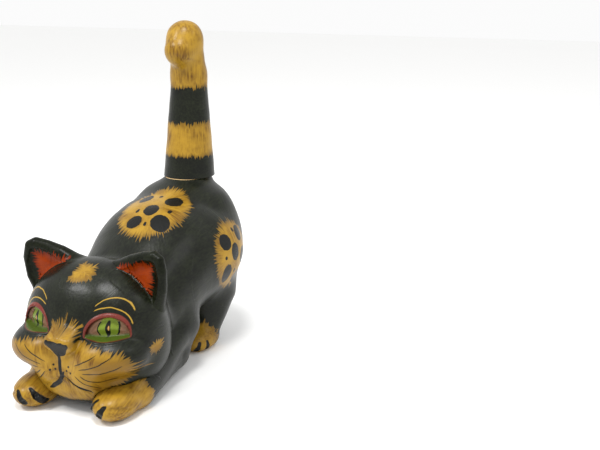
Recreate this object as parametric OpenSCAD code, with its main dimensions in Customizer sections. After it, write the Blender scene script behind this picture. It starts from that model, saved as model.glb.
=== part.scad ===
// Carved and painted wooden cat, stretching with its tail up, glued and pegged
// together from separately cut blocks. Millimetres, +Z up, the cat faces -Y and
// its left side is at +X. The origin is on the floor, under the middle of the box.

/* [Body] */
// Width of the rump, the widest part of the body
rump_w = 133; // [128:1:140]
// Width of the head across the temples
head_w = 125; // [124.5:0.5:127]
// Height of the flat seat that the tail stands on
seat_z = 155; // [152:1:158]
// Radius of that seat
seat_r = 24.5; // [23.5:0.5:26]

/* [Tail] */
// Height of the top of the tail
tail_top_z = 300; // [290:1:310]
// Radius of the tail at its foot
tail_foot_r = 23; // [20:0.5:23]
// Radius of the tail stem at its narrowest
tail_stem_r = 15; // [12:0.5:16]

/* [Joints] */
// Radius of the peg that the tail is pushed onto
peg_r = 6; // [5:0.5:8]
// Depth of the peg in the rump, and in the tail
peg_depth = 34; // [25:1:36]
// Radius of the dowels between head and torso
neck_dowel_r = 4; // [3:0.5:5]
// Radius of the dowels between forelegs and torso
leg_dowel_r = 3; // [2:0.5:3.5]
// Radius of the bamboo pins in the ears
ear_pin_r = 1.5; // [1:0.25:2]
// Room around each peg, dowel and pin in its bore
bore_gap = 0.05; // [0.03:0.01:0.1]

/* [Hidden] */
$fn = 32;
big = 400;
tail_y = 103;
tail_gap = 0.3;
tail_z = seat_z + tail_gap;
bulb_r = 16;
neck_y = -34;
neck_dowel_x = 17;
neck_dowel_z = 72;
neck_dowel_len = 40;
leg_gap = 0.6;
glue_gap = 0.4;
shoulder_at = [34, 27];
shoulder_tilt = 34;
leg_dowel_y = [-20, 8];
leg_dowel_len = 26;
ear_pin_at = [43, -59, 99];
ear_pin_turn = [6, 38, 0];
ear_pin_len = 20;

// An ellipsoid at a place, with its half-sizes
module mass(at, half) {
    translate(at) scale(half) sphere(1);
}

// The same on both sides of the middle
module both() {
    children();
    mirror([1, 0, 0]) children();
}

// Loin, back and shoulders, from the seat of the tail to the neck
module trunk_mass() {
    hull() {
        mass([0, -17, 62], [52, 40, 47]);
        mass([0, 32, 87], [59, 44, 54]);
        mass([0, 70, 92], [rump_w / 2, 54, 52]);
        both() mass([30, 87, 90], [23, 40, 58]);
        translate([0, tail_y, seat_z - 3]) cylinder(r = seat_r, h = 3);
    }
}

module hind_leg_mass() {
    hull() {
        translate([30, 80, 48]) sphere(25);
        translate([31, 64, 14]) sphere(15);
    }
    mass([32, 54, 9], [15, 22, 11]);
}

// Skull, larger all round by grow
module skull_mass(grow = 0) {
    mass([0, -66, 68], [head_w / 2 + grow, 47 + grow, 55 + grow]);
}

module face_mass() {
    both() mass([25, -91, 42], [37, 35.5, 25]);
    mass([0, -86, 25], [50, 30, 23]);
    hull() {
        both() translate([8, -100, 72]) sphere(9);
        both() translate([7, -122, 63]) sphere(5.5);
        translate([0, -122, 54]) sphere(4);
    }
}

// Upper arm, forearm and paw, thicker all round by grow
module foreleg_mass(grow = 0) {
    hull() {
        translate([39, 2, 42]) sphere(20 + grow);
        translate([36, -4, 17]) sphere(18 + grow);
        translate([44, -80, 14]) sphere(15 + grow);
    }
    mass([39.5, -100, 12], [16.5 + grow, 26 + grow, 13.5 + grow]);
}

// Moves to the flat face on which a foreleg is glued, with X along it and Z off it
module on_shoulder() {
    translate([shoulder_at[0], neck_y, shoulder_at[1]]) rotate([0, -shoulder_tilt, 0])
        children();
}

module foreleg_block() {
    difference() {
        foreleg_mass();
        on_shoulder() translate([-big / 2, 0, -glue_gap]) cube(big);
    }
}

module ear_mass() {
    hull() {
        translate([60, -68, 124]) sphere(5);
        translate([60, -67, 104]) sphere(7);
        translate([54, -62, 80]) sphere(8);
        translate([24, -62, 112]) sphere(9);
    }
}

// The hollow cut into the front of an ear
module ear_hollow() {
    hull() {
        translate([56, -77, 119]) sphere(5);
        translate([54, -79, 100]) sphere(7);
        translate([36, -78, 113]) sphere(6);
    }
}

module ear_block() {
    difference() {
        ear_mass();
        ear_hollow();
        hull() skull_mass(glue_gap);
    }
}

module tail_mass() {
    hull() {
        translate([0, tail_y, tail_z]) cylinder(r = tail_foot_r, h = 1);
        translate([0, tail_y + 3, 250]) sphere(tail_stem_r);
    }
    hull() {
        translate([0, tail_y + 3, 250]) sphere(tail_stem_r);
        translate([0, tail_y - 1, tail_top_z - bulb_r]) sphere(bulb_r);
    }
    hull() {
        translate([0, tail_y - 1, tail_top_z - bulb_r]) sphere(bulb_r);
        translate([0, tail_y - 11, tail_top_z - 26]) sphere(14.5);
    }
}

// Everything below the floor that the flat faces of the feet stand on
module under_floor() {
    translate([-big, -big, -2 * big]) cube(2 * big);
}

// Everything behind the flat face between head and torso
module behind_neck() {
    translate([-big, neck_y, -big]) cube(2 * big);
}

module ahead_of_neck() {
    translate([-big, neck_y - 2 * big, -big]) cube(2 * big);
}

module peg_shape(room = 0) {
    translate([0, tail_y, seat_z - peg_depth - room])
        cylinder(r = peg_r + room, h = 2 * (peg_depth + room) + tail_gap);
}

module neck_dowel_shape(room = 0) {
    translate([neck_dowel_x, neck_y, neck_dowel_z]) rotate([90, 0, 0])
        cylinder(r = neck_dowel_r + room, h = neck_dowel_len + 2 * room, center = true);
}

module leg_dowel_shape(i, room = 0) {
    translate([shoulder_at[0], leg_dowel_y[i], shoulder_at[1]]) rotate([0, -shoulder_tilt, 0])
        cylinder(r = leg_dowel_r + room, h = leg_dowel_len + 2 * room, center = true);
}

module ear_pin_shape(room = 0) {
    translate(ear_pin_at) rotate(ear_pin_turn)
        cylinder(r = ear_pin_r + room, h = ear_pin_len + 2 * room, center = true);
}

module torso() {
    color("darkslategray") difference() {
        resize([rump_w, 0, 0]) difference() {
            union() {
                trunk_mass();
                skull_mass();
                both() hind_leg_mass();
                both() foreleg_mass();
            }
            both() on_shoulder() translate([-25, -1, -90]) cube([110, 63, 90]);
            ahead_of_neck();
            under_floor();
        }
        peg_shape(bore_gap);
        both() neck_dowel_shape(bore_gap);
        both() leg_dowel_shape(0, bore_gap);
        both() leg_dowel_shape(1, bore_gap);
    }
}

module head() {
    color("dimgray") difference() {
        resize([head_w, 0, 0]) difference() {
            union() {
                trunk_mass();
                skull_mass();
                face_mass();
            }
            both() foreleg_mass(leg_gap);
            behind_neck();
        }
        both() neck_dowel_shape(bore_gap);
        both() ear_pin_shape(bore_gap);
    }
}

module ear_left() {
    color("sienna") difference() {
        ear_block();
        ear_pin_shape(bore_gap);
    }
}

module ear_right() {
    mirror([1, 0, 0]) ear_left();
}

module foreleg_left() {
    color("goldenrod") difference() {
        foreleg_block();
        under_floor();
        leg_dowel_shape(0, bore_gap);
        leg_dowel_shape(1, bore_gap);
    }
}

module foreleg_right() {
    mirror([1, 0, 0]) foreleg_left();
}

module tail() {
    color("goldenrod") difference() {
        tail_mass();
        peg_shape(bore_gap);
    }
}

module tail_peg() {
    color("burlywood") peg_shape();
}

module neck_dowel_left() {
    color("burlywood") neck_dowel_shape();
}

module neck_dowel_right() {
    mirror([1, 0, 0]) neck_dowel_left();
}

module foreleg_dowel_left_front() {
    color("burlywood") leg_dowel_shape(0);
}

module foreleg_dowel_left_rear() {
    color("burlywood") leg_dowel_shape(1);
}

module foreleg_dowel_right_front() {
    mirror([1, 0, 0]) foreleg_dowel_left_front();
}

module foreleg_dowel_right_rear() {
    mirror([1, 0, 0]) foreleg_dowel_left_rear();
}

module ear_pin_left() {
    color("wheat") ear_pin_shape();
}

module ear_pin_right() {
    mirror([1, 0, 0]) ear_pin_left();
}

torso();
head();
ear_left();
ear_right();
foreleg_left();
foreleg_right();
tail();
tail_peg();
neck_dowel_left();
neck_dowel_right();
foreleg_dowel_left_front();
foreleg_dowel_left_rear();
foreleg_dowel_right_front();
foreleg_dowel_right_rear();
ear_pin_left();
ear_pin_right();
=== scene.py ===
"""Looks of a carved, lacquered wooden cat, modelled around its packed blocks.

Every shape is worked out in millimetres in the frame's own axes: +Z up, the cat
faces -Y, its left side at +X. Meshes are turned to metres when they are finished.
"""

import logging
import math
from dataclasses import dataclass
from enum import Enum
from typing import Callable, Sequence

import bmesh
import bpy
import numpy as np
from mathutils import Matrix, Vector

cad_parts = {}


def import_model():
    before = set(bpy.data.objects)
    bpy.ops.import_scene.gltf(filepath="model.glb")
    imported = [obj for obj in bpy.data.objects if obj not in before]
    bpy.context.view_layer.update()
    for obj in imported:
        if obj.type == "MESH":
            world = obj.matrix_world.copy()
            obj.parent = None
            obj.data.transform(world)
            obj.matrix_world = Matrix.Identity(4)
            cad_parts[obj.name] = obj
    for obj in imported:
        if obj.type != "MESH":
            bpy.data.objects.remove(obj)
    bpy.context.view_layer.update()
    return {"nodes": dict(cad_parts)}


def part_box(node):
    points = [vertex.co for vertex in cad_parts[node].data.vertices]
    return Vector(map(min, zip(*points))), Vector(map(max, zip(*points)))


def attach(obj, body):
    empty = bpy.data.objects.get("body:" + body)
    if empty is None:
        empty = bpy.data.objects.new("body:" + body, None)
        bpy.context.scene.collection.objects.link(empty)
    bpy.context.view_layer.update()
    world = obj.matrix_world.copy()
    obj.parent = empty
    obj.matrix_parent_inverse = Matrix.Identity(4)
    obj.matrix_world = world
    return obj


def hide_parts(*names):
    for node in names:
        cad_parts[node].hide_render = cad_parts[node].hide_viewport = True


LOG = logging.getLogger("cat")
# One millimetre in metres
MM = 0.001
# Beyond everything, in millimetres
FAR = 300.0

Array = np.ndarray
Point = tuple[float, float, float]
# Takes places, one row each, and gives their signed distances to a surface
Surface = Callable[[Array], Array]


class Side(Enum):
    """A side of the cat, with the sign of its x."""

    LEFT = 1.0
    RIGHT = -1.0


class Cut(Enum):
    """What a cutter does to a block."""

    AWAY = "DIFFERENCE"
    KEEP = "INTERSECT"


# --------------------------------------------------------------------------
# Forms: rounded masses whose signed distance can be added, blended and carved
# --------------------------------------------------------------------------


def fold(points: Array, softness: float = 1.5) -> Array:
    """Brings both sides of the cat to one side, softly at the middle.

    Args:
        points: Places, one row each.
        softness: How wide the soft stretch at the middle is.

    Returns:
        The places with x made positive.
    """
    folded = points.copy()
    folded[:, 0] = np.sqrt(points[:, 0] ** 2 + softness**2)
    return folded


def rise(value: Array, start: float, end: float) -> Array:
    """Runs smoothly from 0 at start to 1 at end."""
    t = np.clip((value - start) / (end - start), 0.0, 1.0)
    return t * t * (3.0 - 2.0 * t)


def blend(first: Array, second: Array, width: float | Array) -> Array:
    """Joins two forms with a fillet of the given width.

    Args:
        first: Distances to the first form.
        second: Distances to the second form.
        width: Reach of the fillet, one value or one for each place.

    Returns:
        Distances to both forms joined.
    """
    mix = np.clip(0.5 + 0.5 * (second - first) / width, 0.0, 1.0)
    return second + (first - second) * mix - width * mix * (1.0 - mix)


def carve(body: Array, tool: Array, width: float) -> Array:
    """Cuts a tool out of a body and rounds the edge of the cut."""
    return -blend(-body, tool, width)


@dataclass(frozen=True)
class Egg:
    """An ellipsoid along the axes.

    Attributes:
        at: Its middle.
        half: Its half-sizes.
    """

    at: Point
    half: Point

    def distance(self, points: Array) -> Array:
        """Signed distance of each place, near enough within a few millimetres.

        Args:
            points: Places, one row each.

        Returns:
            Their distances, negative inside.
        """
        scaled = (points - np.array(self.at)) / np.array(self.half)
        near = np.linalg.norm(scaled, axis=1)
        slope = np.linalg.norm(scaled / np.array(self.half), axis=1)
        return near * (near - 1.0) / np.maximum(slope, 1e-9)

    def rough(self, bm: bmesh.types.BMesh, side: float) -> None:
        """Adds a rough copy on the given side of the middle.

        Args:
            bm: The bmesh that it is added to.
            side: 1 for the left, -1 for the right.
        """
        place = Matrix.Translation((self.at[0] * side, self.at[1], self.at[2]))
        bmesh.ops.create_icosphere(
            bm, subdivisions=4, radius=1.0, matrix=place @ Matrix.Diagonal((*self.half, 1.0))
        )


@dataclass(frozen=True)
class Limb:
    """A rounded stick whose thickness changes evenly along it.

    Attributes:
        start: Middle of one end.
        end: Middle of the other end.
        start_r: Radius at the start.
        end_r: Radius at the end.
    """

    start: Point
    end: Point
    start_r: float
    end_r: float

    def swollen(self, grow: float) -> "Limb":
        """The same limb, thicker all round."""
        return Limb(self.start, self.end, self.start_r + grow, self.end_r + grow)

    def distance(self, points: Array) -> Array:
        """Signed distance of each place.

        Args:
            points: Places, one row each.

        Returns:
            Their distances, negative inside.
        """
        start = np.array(self.start)
        along = np.array(self.end) - start
        t = np.clip((points - start) @ along / (along @ along), 0.0, 1.0)
        gap = np.linalg.norm(points - start - t[:, None] * along, axis=1)
        return gap - (self.start_r + t * (self.end_r - self.start_r))

    def rough(self, bm: bmesh.types.BMesh, side: float) -> None:
        """Adds rough balls along the limb on the given side of the middle.

        Args:
            bm: The bmesh that it is added to.
            side: 1 for the left, -1 for the right.
        """
        start, end = Vector(self.start), Vector(self.end)
        steps = max(2, math.ceil((end - start).length / (0.5 * min(self.start_r, self.end_r))))
        for i in range(steps + 1):
            t = i / steps
            at = start.lerp(end, t)
            at.x *= side
            radius = self.start_r + t * (self.end_r - self.start_r)
            bmesh.ops.create_icosphere(
                bm, subdivisions=3, radius=radius, matrix=Matrix.Translation(at)
            )


@dataclass(frozen=True)
class Leaf:
    """A cornered plate with rounded edges, fanned out from its first corner.

    Attributes:
        corners: Its corners, in order round the plate.
        radii: Half the thickness at each corner.
    """

    corners: tuple[Point, ...]
    radii: tuple[float, ...]

    def swollen(self, grow: float) -> "Leaf":
        """The same leaf, thicker all round."""
        return Leaf(self.corners, tuple(r + grow for r in self.radii))

    def distance(self, points: Array) -> Array:
        """Signed distance of each place.

        Args:
            points: Places, one row each.

        Returns:
            Their distances, negative inside.
        """
        spots = [np.array(c, dtype=float) for c in self.corners]
        count = len(spots)
        gap = np.full(len(points), np.inf)
        for i in range(count):
            j = (i + 1) % count
            rim = Limb(self.corners[i], self.corners[j], self.radii[i], self.radii[j])
            gap = np.minimum(gap, rim.distance(points))
        for i in range(1, count - 1):
            a, b, c = spots[0], spots[i], spots[i + 1]
            normal = np.cross(b - a, c - a)
            area = normal @ normal
            share_c = np.cross(b - a, points - a) @ normal / area
            share_b = np.cross(points - a, c - a) @ normal / area
            share_a = 1.0 - share_b - share_c
            inside = (share_a >= 0.0) & (share_b >= 0.0) & (share_c >= 0.0)
            thick = share_a * self.radii[0] + share_b * self.radii[i] + share_c * self.radii[i + 1]
            face = np.abs((points - a) @ normal) / math.sqrt(area) - thick
            gap = np.where(inside, np.minimum(gap, face), gap)
        return gap

    def rough(self, bm: bmesh.types.BMesh, side: float) -> None:
        """Adds a rough hull on the given side of the middle.

        Args:
            bm: The bmesh that it is added to.
            side: 1 for the left, -1 for the right.
        """
        balls = bmesh.new()
        for corner, radius in zip(self.corners, self.radii):
            at = Matrix.Translation((corner[0] * side, corner[1], corner[2]))
            bmesh.ops.create_icosphere(balls, subdivisions=3, radius=radius, matrix=at)
        bmesh.ops.delete(balls, geom=list(balls.edges), context="EDGES_FACES")
        bmesh.ops.convex_hull(balls, input=list(balls.verts))
        loose = [v for v in balls.verts if not v.link_faces]
        bmesh.ops.delete(balls, geom=loose, context="VERTS")
        bmesh.ops.recalc_face_normals(balls, faces=list(balls.faces))
        hull = bpy.data.meshes.new("hull")
        balls.to_mesh(hull)
        balls.free()
        bm.from_mesh(hull)
        bpy.data.meshes.remove(hull)


Form = Egg | Limb | Leaf


def joined(points: Array, forms: Sequence[Form], width: float) -> Array:
    """Distances to several forms joined with one width of fillet.

    Args:
        points: Places, one row each.
        forms: The forms, in the order in which they are joined.
        width: Reach of the fillets.

    Returns:
        Distances to all of them joined.
    """
    result = forms[0].distance(points)
    for form in forms[1:]:
        result = blend(result, form.distance(points), width)
    return result


# --------------------------------------------------------------------------
# The cat's masses
# --------------------------------------------------------------------------


def between(first: Egg, second: Egg, steps: int) -> list[Egg]:
    """Eggs spaced evenly from the first up to, and without, the second.

    Args:
        first: The first egg.
        second: The egg that the row leads to.
        steps: How many eggs the row has.

    Returns:
        The row of eggs.
    """
    eggs = []
    for i in range(steps):
        t = i / steps
        at = tuple(a + t * (b - a) for a, b in zip(first.at, second.at))
        half = tuple(a + t * (b - a) for a, b in zip(first.half, second.half))
        eggs.append(Egg(at, half))
    return eggs


# Heights of the short and the long waves that a knife leaves, in millimetres
KNIFE_RIPPLE = 0.11
KNIFE_SWAY = 0.13


def whittled(points: Array) -> Array:
    """The slight waviness that knife and sandpaper leave, in millimetres.

    Args:
        points: Places, one row each.

    Returns:
        How far each place lies below or above the even form.
    """
    x, y, z = points.T
    ripple = np.sin(x / 4.1 + 0.7 * np.sin(z / 5.3)) * np.sin(z / 3.7 + 0.4 * np.sin(y / 4.7))
    sway = np.sin(y / 5.9 + x / 7.3) * np.sin(z / 6.1 - x / 8.9)
    return KNIFE_RIPPLE * ripple + KNIFE_SWAY * sway


def near_path(points: Array, path: Sequence[tuple[float, float]]) -> Array:
    """Distance in the face's plane, (x, z), to a path of straight stretches.

    Args:
        points: Places, one row each.
        path: The corners of the path.

    Returns:
        Their distances to the path.
    """
    flat = points[:, [0, 2]]
    gap = np.full(len(points), np.inf)
    for a, b in zip(path, path[1:]):
        start, along = np.array(a), np.array(b) - np.array(a)
        t = np.clip((flat - start) @ along / (along @ along), 0.0, 1.0)
        gap = np.minimum(gap, np.linalg.norm(flat - start - t[:, None] * along, axis=1))
    return gap


@dataclass(frozen=True)
class Eye:
    """An almond eye seen from the front, in the plane (|x|, z).

    Attributes:
        middle: Middle of the round upper edge.
        upper_r: Radius of the upper edge.
        low: Middle of the flat arc along the lower edge.
        lower_r: Radius of the lower edge.
        lid: Width of the raised upper lid.
        iris: Middle of the iris.
        iris_half: Half-sizes of the iris.
        pupil_half: Half-sizes of the slit.
        depth: How deep the eye is sunk at its edge.
        ball: How far the eyeball rises again towards its middle.
        lid_rise: How far the upper lid stands up.
        low_lid_rise: How far the lower lid stands up.
        brow_y: How far ahead the eye begins and is fully carved, as -y.
    """

    middle: tuple[float, float] = (33.2, 67.2)
    upper_r: float = 15.9
    low: tuple[float, float] = (34.0, 216.3)
    lower_r: float = 150.0
    lid: float = 2.8
    iris: tuple[float, float] = (33.4, 73.6)
    iris_half: tuple[float, float] = (7.6, 8.6)
    pupil_half: tuple[float, float] = (1.9, 6.4)
    depth: float = 3.4
    ball: float = 2.2
    lid_rise: float = 1.5
    low_lid_rise: float = 0.6
    brow_y: tuple[float, float] = (74.0, 84.0)

    def relief(self, points: Array) -> Array:
        """How deep the eye is carved at each place; a raised lid is negative.

        Args:
            points: Places, one row each.

        Returns:
            The depths.
        """
        flat = points[:, [0, 2]]
        above = np.linalg.norm(flat - np.array(self.middle), axis=1) - self.upper_r
        below = np.linalg.norm(flat - np.array(self.low), axis=1) - self.lower_r
        inside = -np.maximum(above, below)
        hollow = self.depth * rise(inside, -0.3, 1.5) - self.ball * rise(inside, 1.2, 8.5)
        upper = np.exp(-(((above - 1.3) / 1.15) ** 2)) * rise(-below, -1.5, 1.5)
        lower = np.exp(-(((below - 0.8) / 0.8) ** 2)) * rise(-above, -1.0, 1.0)
        lids = self.lid_rise * upper + self.low_lid_rise * lower
        return (hollow - lids) * rise(-points[:, 1], *self.brow_y)


@dataclass(frozen=True)
class Anatomy:
    """All the masses of the cat, and the planes at which its blocks meet.

    Attributes:
        tail_y: Where the middle of the tail stands.
        seat_z: Height of the flat seat under the tail.
        tail_gap: Room between the seat and the foot of the tail.
        tail_top: Height of the top of the tail.
        neck_y: Plane between head and torso.
        shoulder_x: One place on the slanting flat between foreleg and torso.
        shoulder_z: Height of that place.
        shoulder_tilt: Slant of that flat, in degrees.
        eye: The carved eye.
    """

    tail_y: float
    seat_z: float
    tail_gap: float
    tail_top: float
    neck_y: float
    shoulder_x: float = 34.0
    shoulder_z: float = 27.0
    shoulder_tilt: float = 34.0
    eye: Eye = Eye()

    # Fillets between the masses: the wider, the softer they run into each other
    broad_fillet = 14.0
    neck_fillet = 12.0
    trunk_fillet = 7.0
    foot_fillet = 6.0
    arm_fillet = 5.0
    muzzle_fillet = 4.0
    nose_fillet = 3.0
    # Rounding of the edges of claw grooves and of the cut end of the nose
    worn_edge = 0.6
    # How far the black of a claw reaches past its groove
    claw_ink = 0.7
    # The mouth's groove: how deep, how wide, and how far ahead it begins and is full
    mouth_depth = 1.5
    mouth_half = 1.3
    mouth_front = (100.0, 106.0)

    # The trunk, from front to back
    shoulders = Egg((0, -17, 62), (52, 40, 47))
    loin = Egg((0, 32, 87), (59, 44, 54))
    rump = Egg((0, 70, 92), (66.5, 54, 52))
    hip = Egg((30, 90, 93), (26.5, 37, 49))
    # The head, and the plane that cuts off the end of the nose
    skull = Egg((0, -66, 66), (62.5, 47, 51.5))
    cheek = Egg((34, -66, 44), (27, 36, 32))
    pads = (Egg((27, -90, 51), (34, 35, 20)), Egg((15, -98.5, 39), (21, 25, 20.5)))
    philtrum = Limb((0, -113, 54), (0, -112.5, 37), 8.5, 8.5)
    jaw = Egg((0, -87, 26), (46, 30, 23))
    bridge = (
        Limb((0, -96, 79), (0, -121, 65), 7.5, 6),
        Limb((7, -96, 77), (8, -120.5, 64), 7, 5.5),
        Limb((8, -120.5, 62.5), (0, -120, 54.5), 5, 3.5),
    )
    nose_cut = ((0, -126.2, 64), (0, -0.9, -0.436))
    mouth = ((0.0, 54.0), (0.0, 36.0), (9.5, 29.5), (21.0, 22.5))
    # Legs and feet
    thigh = Limb((30, 80, 48), (31, 64, 14), 25, 15)
    hind_foot = Egg((32, 54, 9), (15, 22, 11))
    arm = (
        Limb((38, 0, 44), (43, -80, 14), 19, 14.5),
        Limb((33, -4, 18), (43, -80, 14), 16, 14.5),
        Limb((38, 0, 44), (33, -4, 18), 19, 16),
    )
    paw = Egg((38, -100, 12), (18, 27, 13.5))
    # The ear, and what is scooped out of it
    ear_leaf = Leaf(
        (
            (22, -61, 109),
            (35, -63, 117),
            (47, -65, 122.5),
            (56, -67, 125),
            (61, -68, 123),
            (62.5, -68, 113),
            (60, -67, 98),
            (54, -63, 83),
        ),
        (9, 7.5, 6, 5.5, 5, 5.5, 6.5, 7.5),
    )
    ear_scoop = Leaf(
        (
            (31, -77, 107),
            (39, -77, 111.5),
            (47, -77, 115.5),
            (54, -78, 117),
            (55.5, -78.5, 108),
            (53.5, -78.5, 98),
            (49.5, -78, 88),
        ),
        (9, 9, 9, 8.5, 9, 9, 9),
    )
    # Grooves of the claws and between the toes
    fore_claws = (
        Limb((24.2, -112, 6.3), (26.4, -120.8, 13.7), 3.0, 2.2),
        Limb((26.4, -120.8, 13.7), (31.6, -120.6, 19.8), 2.2, 0.8),
        Limb((35.3, -126, 8.5), (38.5, -126.8, 14.2), 2.7, 1.8),
        Limb((38.5, -126.8, 14.2), (41.2, -124.8, 18), 1.8, 0.8),
    )
    fore_slots = (
        Limb((44.6, -124.6, 15.3), (50.6, -120.0, 14.7), 1.4, 2.3),
        Limb((50.6, -120.0, 14.7), (55.0, -109.8, 11.8), 2.3, 1.4),
    )
    hind_claws = (
        Limb((37.3, 36.2, 3), (41.6, 36.9, 12), 2.5, 0.8),
        Limb((43.3, 46.2, 2.3), (45.5, 44, 12.2), 2.3, 0.8),
    )

    def trunk_forms(self) -> list[Form]:
        """The masses of shoulders, back, loin, rump and the root of the tail.

        Returns:
            The masses, from front to back.
        """
        spine = between(self.shoulders, self.loin, 4) + between(self.loin, self.rump, 3)
        root = Limb((0, 90, 110), (0, self.tail_y, self.seat_z - 3), 43, 21.5)
        collar = Egg((0, 92, self.seat_z - 28), (45, 42, 28))
        return [*spine, self.rump, self.hip, root, collar]

    def trunk(self, points: Array) -> Array:
        """The trunk without legs."""
        return joined(points, self.trunk_forms(), self.trunk_fillet)

    def hind(self, points: Array) -> Array:
        """Thigh and hind foot with the grooves between its toes.

        Args:
            points: Places, one row each.

        Returns:
            Their distances, negative inside.
        """
        leg = joined(points, (self.thigh, self.hind_foot), self.foot_fillet)
        for claw in self.hind_claws:
            leg = carve(leg, claw.distance(points), self.worn_edge)
        return leg

    def head(self, points: Array) -> Array:
        """Skull, cheeks, muzzle, jaw and nose, with eyes and mouth carved in.

        Args:
            points: Places, one row each.

        Returns:
            Their distances, negative inside.
        """
        mask = joined(points, (self.skull, self.cheek), self.neck_fillet)
        mask = blend(mask, self.jaw.distance(points), self.foot_fillet)
        muzzle = joined(points, self.pads, self.foot_fillet)
        muzzle = blend(muzzle, self.philtrum.distance(points), self.muzzle_fillet)
        mask = blend(mask, muzzle, self.muzzle_fillet)
        on_cut, off_cut = (np.array(v, dtype=float) for v in self.nose_cut)
        nose = joined(points, self.bridge, self.muzzle_fillet)
        nose = carve(nose, -((points - on_cut) @ off_cut), self.worn_edge)
        mask = blend(mask + self.eye.relief(points), nose, self.nose_fillet)
        groove = np.exp(-((near_path(points, self.mouth) / self.mouth_half) ** 2))
        return mask + self.mouth_depth * groove * rise(-points[:, 1], *self.mouth_front)

    def foreleg(self, points: Array) -> Array:
        """Upper arm, forearm and paw, not yet grooved."""
        arm = joined(points, self.arm, self.arm_fillet)
        return blend(arm, self.paw.distance(points), self.foot_fillet)

    def body(self, points: Array) -> Array:
        """Everything except forelegs, ears and tail."""
        body = blend(self.trunk(points), self.hind(points), self.broad_fillet)
        return blend(body, self.head(points), self.neck_fillet)

    def shoulder_fillet(self, points: Array) -> Array:
        """How softly a foreleg runs into the body: crisp under the head, soft behind."""
        return 0.8 + 9.0 * rise(points[:, 1], self.neck_y - 2.0, self.neck_y + 26.0)


# --------------------------------------------------------------------------
# Carving: a rough voxel mesh is drawn onto the surface, then cut into blocks
# --------------------------------------------------------------------------


def new_object(name: str, bm: bmesh.types.BMesh) -> bpy.types.Object:
    """Makes a linked mesh object out of a bmesh and frees the bmesh.

    Args:
        name: Name of the object.
        bm: The bmesh.

    Returns:
        The object.
    """
    mesh = bpy.data.meshes.new(name)
    bm.to_mesh(mesh)
    bm.free()
    made = bpy.data.objects.new(name, mesh)
    bpy.context.scene.collection.objects.link(made)
    return made


def apply_modifiers(obj: bpy.types.Object) -> None:
    """Turns an object's modifiers into its mesh.

    Args:
        obj: The object.
    """
    graph = bpy.context.evaluated_depsgraph_get()
    old = obj.data
    obj.data = bpy.data.meshes.new_from_object(obj.evaluated_get(graph))
    obj.modifiers.clear()
    bpy.data.meshes.remove(old)


def slope_of(points: Array, surface: Surface, value: Array, step: float = 0.05) -> Array:
    """The direction in which the distance grows, for each place.

    Args:
        points: Places, one row each.
        surface: Signed distance to a surface.
        value: That distance at the places.
        step: How far apart the distance is compared.

    Returns:
        One direction for each place.
    """
    slope = np.empty_like(points)
    for axis in range(3):
        moved = points.copy()
        moved[:, axis] += step
        slope[:, axis] = (surface(moved) - value) / step
    return slope


# The longest step that a place is moved at once, in millimetres
LONGEST_STEP = 3.0
# The least squared slope that a step is reckoned with, so that no step runs away
LEAST_SLOPE = 0.25


def draw_onto(points: Array, surface: Surface, rounds: int) -> Array:
    """Moves places straight onto a surface.

    Args:
        points: Places near the surface.
        surface: Signed distance to it.
        rounds: How often the step is repeated.

    Returns:
        The moved places.
    """
    for _ in range(rounds):
        value = surface(points)
        slope = slope_of(points, surface, value)
        steep = np.maximum((slope**2).sum(axis=1), LEAST_SLOPE)
        step = np.clip(value / steep, -LONGEST_STEP, LONGEST_STEP)
        points = points - step[:, None] * slope
    return points


def relax(points: Array, edges: Array, share: float) -> Array:
    """Moves each place part of the way to the middle of its neighbours.

    Args:
        points: Places, one row each.
        edges: Pairs of neighbours.
        share: How far of the way, from 0 to 1.

    Returns:
        The moved places.
    """
    count = np.bincount(edges.ravel(), minlength=len(points)).astype(float)
    total = np.empty_like(points)
    for axis in range(3):
        column = points[:, axis]
        total[:, axis] = np.bincount(edges[:, 0], column[edges[:, 1]], len(points))
        total[:, axis] += np.bincount(edges[:, 1], column[edges[:, 0]], len(points))
    return points + share * (total / np.maximum(count, 1.0)[:, None] - points)


@dataclass(frozen=True)
class Carving:
    """A block carved to a surface.

    Attributes:
        name: Name of the block.
        forms: Rough masses that the block starts from.
        surface: Signed distance to the finished surface.
        grit: Length of the mesh's edges.
    """

    name: str
    forms: Sequence[Form]
    surface: Surface
    grit: float

    def worked(self, points: Array) -> Array:
        """Signed distance to the surface with the waviness of handwork."""
        return self.surface(points) + whittled(points)

    def make(self) -> bpy.types.Object:
        """Builds the closed mesh, still in millimetres.

        Returns:
            The block, with a slot for paint and one for bare wood.
        """
        bm = bmesh.new()
        for form in self.forms:
            form.rough(bm, 1.0)
            form.rough(bm, -1.0)
        block = new_object(self.name, bm)
        remesh = block.modifiers.new("voxels", "REMESH")
        remesh.mode = "VOXEL"
        remesh.voxel_size = self.grit
        apply_modifiers(block)
        mesh = block.data
        points = np.empty(len(mesh.vertices) * 3)
        mesh.vertices.foreach_get("co", points)
        points = points.reshape(-1, 3)
        edges = np.empty(len(mesh.edges) * 2, dtype=np.int32)
        mesh.edges.foreach_get("vertices", edges)
        edges = edges.reshape(-1, 2)
        points = draw_onto(points, self.worked, 4)
        for _ in range(2):
            points = draw_onto(relax(points, edges, 0.5), self.worked, 1)
        points = draw_onto(points, self.worked, 1)
        mesh.vertices.foreach_set("co", points.ravel())
        mesh.materials.clear()
        mesh.materials.append(None)
        mesh.materials.append(None)
        mesh.update()
        return block


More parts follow.
